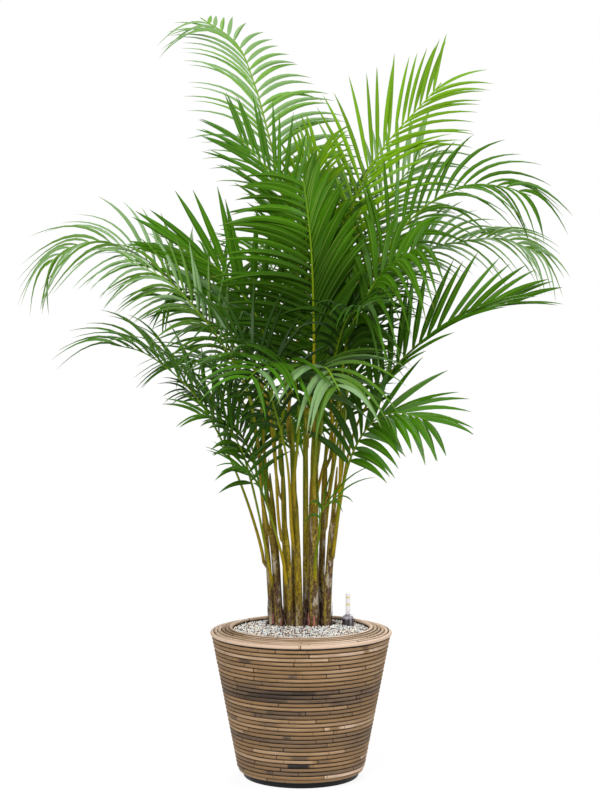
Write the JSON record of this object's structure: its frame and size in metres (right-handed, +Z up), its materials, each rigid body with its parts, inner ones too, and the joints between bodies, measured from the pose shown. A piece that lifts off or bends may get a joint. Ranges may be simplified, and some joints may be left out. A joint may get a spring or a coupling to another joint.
{
  "type": "potted palm",
  "caption": "Clump-forming feather palm with arching fronds on ringed canes, rooted in a lined round planter of stacked rattan poles with gravel and a water gauge.",
  "frame": {"origin": "centre of the planter's underside", "axes": "+Z up along the planter's axis, -Y towards the side the picture shows, +X to its right"},
  "size_m": [1.3318, 0.9632, 1.8323],
  "materials": {
    "tub_black": "matt black moulded plastic",
    "rattan": "satin tan and grey-brown rattan poles",
    "liner_black": "matt black moulded plastic",
    "soil": "dark fibrous peat and roots",
    "gravel": "dry cream, grey and mauve-brown grit",
    "gauge_grey": "smoky grey plastic",
    "gauge_clear": "clear plastic",
    "gauge_red": "red plastic",
    "cane": "smooth ringed cane, yellow-green above and speckled brown below",
    "leaf_bright": "satin bright yellow-green leaf",
    "leaf_fresh": "satin fresh green leaf",
    "leaf_green": "satin mid-green leaf",
    "leaf_dark": "satin dark green leaf",
    "leaf_pale": "glossy leaf with a pale bluish sheen"
  },
  "bodies": {
    "root": {"tub": "tub_black", "rattan_wall": "rattan", "rattan_rim": "rattan", "liner": "liner_black", "root_ball": "soil", "gravel": "gravel", "gauge_cap": "gauge_grey", "gauge_tube": "gauge_clear", "gauge_float": "gauge_red", "cane_01": "cane", "cane_02": "cane", "cane_03": "cane", "cane_04": "cane", "cane_05": "cane", "cane_06": "cane", "cane_07": "cane", "cane_08": "cane", "cane_09": "cane", "cane_10": "cane", "cane_11": "cane", "cane_12": "cane", "cane_13": "cane", "frond_01": "leaf_pale", "frond_02": "leaf_fresh", "frond_03": "leaf_green", "frond_04": "leaf_bright", "frond_05": "leaf_green", "frond_06": "leaf_pale", "frond_07": "leaf_green", "frond_08": "leaf_green", "frond_09": "leaf_fresh", "frond_10": "leaf_pale", "frond_11": "leaf_fresh", "frond_12": "leaf_green", "frond_13": "leaf_pale", "frond_14": "leaf_pale", "frond_15": "leaf_fresh", "frond_16": "leaf_fresh", "frond_17": "leaf_green", "frond_18": "leaf_green", "frond_19": "leaf_green", "frond_20": "leaf_pale", "frond_21": "leaf_dark", "frond_22": "leaf_dark", "frond_23": "leaf_bright", "frond_24": "leaf_dark", "frond_25": "leaf_green", "frond_26": "leaf_green", "frond_27": "leaf_green", "frond_28": "leaf_green", "frond_29": "leaf_green", "frond_30": "leaf_green", "frond_31": "leaf_green", "frond_32": "leaf_green"}
  },
  "joints": []
}
